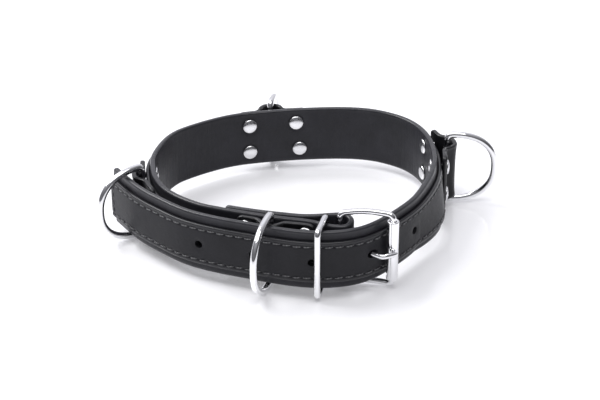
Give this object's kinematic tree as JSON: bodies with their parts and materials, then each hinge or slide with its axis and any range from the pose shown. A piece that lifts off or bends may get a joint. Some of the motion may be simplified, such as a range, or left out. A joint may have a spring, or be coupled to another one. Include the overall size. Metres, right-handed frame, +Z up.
{
  "type": "leather buckle collar with four D-rings",
  "caption": "Heavy black leather dog collar with riveted D-rings, a roller buckle and a wire keeper, buckled up.",
  "frame": {"origin": "centre of the object's bounding box seen from above, on the level that the rings stand on", "axes": "+Z up along the wearer's neck, +X towards the right-hand ring, -Y towards the buckle and the tail"},
  "size_m": [0.2062, 0.1794, 0.0419],
  "materials": {
    "leather": "satin",
    "chrome": "polished"
  },
  "bodies": {
    "strap": {"base_strap": "leather", "overlay_strap": "leather", "ring_tab_front": "leather", "ring_tab_left": "leather", "ring_tab_back": "leather", "ring_tab_right": "leather", "front_tab_rivet_1": "chrome", "front_tab_rivet_2": "chrome", "front_tab_rivet_3": "chrome", "front_tab_rivet_4": "chrome", "left_tab_rivet_1": "chrome", "left_tab_rivet_2": "chrome", "left_tab_rivet_3": "chrome", "left_tab_rivet_4": "chrome", "back_tab_rivet_1": "chrome", "back_tab_rivet_2": "chrome", "back_tab_rivet_3": "chrome", "back_tab_rivet_4": "chrome", "right_tab_rivet_1": "chrome", "right_tab_rivet_2": "chrome", "right_tab_rivet_3": "chrome", "right_tab_rivet_4": "chrome"},
    "front_ring": {"d_ring_front": "chrome"},
    "left_ring": {"d_ring_left": "chrome"},
    "back_ring": {"d_ring_back": "chrome"},
    "right_ring": {"d_ring_right": "chrome"},
    "buckle": {"buckle_frame": "chrome"},
    "prong": {"buckle_prong": "chrome"},
    "roller": {"buckle_roller": "chrome"},
    "keeper": {"keeper_loop": "chrome"}
  },
  "joints": [
    {"name": "front_ring_swing", "type": "hinge", "parent": "strap", "child": "front_ring", "pos_m": [-0.01518, -0.06415, 0.0205], "axis": [0, 0, 1], "range_deg": [-40, 40]},
    {"name": "left_ring_swing", "type": "hinge", "parent": "strap", "child": "left_ring", "pos_m": [-0.08135, -0.01439, 0.0205], "axis": [0, 0, 1], "range_deg": [-20, 30]},
    {"name": "back_ring_swing", "type": "hinge", "parent": "strap", "child": "back_ring", "pos_m": [-0.01739, 0.06437, 0.0205], "axis": [0, 0, 1], "range_deg": [-60, 70]},
    {"name": "right_ring_swing", "type": "hinge", "parent": "strap", "child": "right_ring", "pos_m": [0.07613, 0.01997, 0.0205], "axis": [0, 0, 1], "range_deg": [-80, 80]},
    {"name": "buckle_swing", "type": "hinge", "parent": "strap", "child": "buckle", "pos_m": [0.0181, -0.06591, 0.0205], "axis": [0, 0, 1], "range_deg": [-2, 0.5]},
    {"name": "prong_swing", "type": "hinge", "parent": "buckle", "child": "prong", "pos_m": [0.0181, -0.06591, 0.0205], "axis": [0, 0, 1], "range_deg": [-2, 0]},
    {"name": "roller_spin", "type": "hinge", "parent": "buckle", "child": "roller", "pos_m": [0.0436, -0.06841, 0.0205], "axis": [0, 0, 1], "continuous": true},
    {"name": "keeper_slide", "type": "slide", "parent": "strap", "child": "keeper", "axis": [1, 0, 0], "range_m": [-0.0004, 0.0009]}
  ]
}
